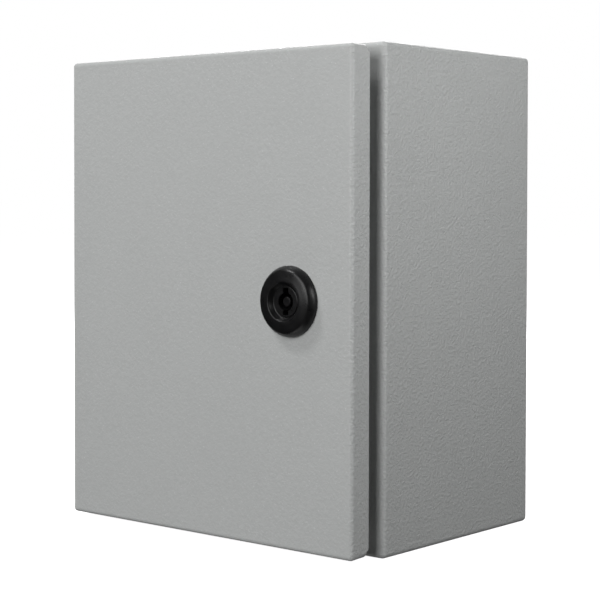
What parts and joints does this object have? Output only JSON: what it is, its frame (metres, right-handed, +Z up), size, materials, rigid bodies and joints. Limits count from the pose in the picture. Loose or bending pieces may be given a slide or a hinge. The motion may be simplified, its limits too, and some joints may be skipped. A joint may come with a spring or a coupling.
{
  "type": "wall-mounted switchboard cabinet",
  "caption": "Small sheet-steel wall cabinet for switchgear: hinged flanged door with a quarter-turn insert lock, sealing lip and gasket, mounting plate, cable-entry plate and earth studs.",
  "frame": {"origin": "centre of the rear face, which is also the middle of the four wall holes", "axes": "+Y into the wall, +X to the right seen from the front, +Z up; the door faces -Y"},
  "size_m": [0.2, 0.1557, 0.25],
  "materials": {
    "grey_powder_coat": "fine-textured matt powder coat",
    "galvanised_sheet": "dull galvanised sheet",
    "copper_flashed_steel": "copper-flashed weld studs",
    "zinc_plated_steel": "bright zinc plating",
    "black_plastic": "satin moulded plastic",
    "black_rubber": "matt rubber",
    "dark_foam": "closed-skin foamed gasket"
  },
  "bodies": {
    "cabinet": {"body_shell": "grey_powder_coat", "mounting_plate": "galvanised_sheet", "plate_studs": "copper_flashed_steel", "plate_washers": "zinc_plated_steel", "plate_nuts": "zinc_plated_steel", "gland_plate": "grey_powder_coat", "gland_gasket": "black_rubber", "gland_studs": "copper_flashed_steel", "gland_nuts": "zinc_plated_steel", "earth_stud": "copper_flashed_steel", "earth_washer": "zinc_plated_steel", "earth_nut": "zinc_plated_steel", "hinge_bracket_upper": "grey_powder_coat", "hinge_bracket_lower": "grey_powder_coat", "hinge_pin_upper": "zinc_plated_steel", "hinge_pin_lower": "zinc_plated_steel", "hinge_clips": "zinc_plated_steel"},
    "door": {"door_panel": "grey_powder_coat", "door_gasket": "dark_foam", "hinge_leaf_upper": "grey_powder_coat", "hinge_leaf_lower": "grey_powder_coat", "door_earth_stud": "copper_flashed_steel", "door_earth_washer": "zinc_plated_steel", "door_earth_nut": "zinc_plated_steel", "lock_housing": "black_plastic", "lock_seal": "black_rubber", "lock_nut": "zinc_plated_steel"},
    "lock_cylinder": {"lock_insert": "black_plastic", "insert_o_ring": "black_rubber", "lock_cam": "zinc_plated_steel", "lock_cam_washer": "zinc_plated_steel", "lock_cam_screw": "zinc_plated_steel"}
  },
  "joints": [
    {"name": "door_hinge", "type": "hinge", "parent": "cabinet", "child": "door", "pos_m": [-0.09075, -0.1395, 0], "axis": [0, 0, -1], "range_deg": [0, 120]},
    {"name": "lock_turn", "type": "hinge", "parent": "door", "child": "lock_cylinder", "pos_m": [0.05925, -0.15, -0.00075], "axis": [0, 1, 0], "range_deg": [0, 90]}
  ]
}
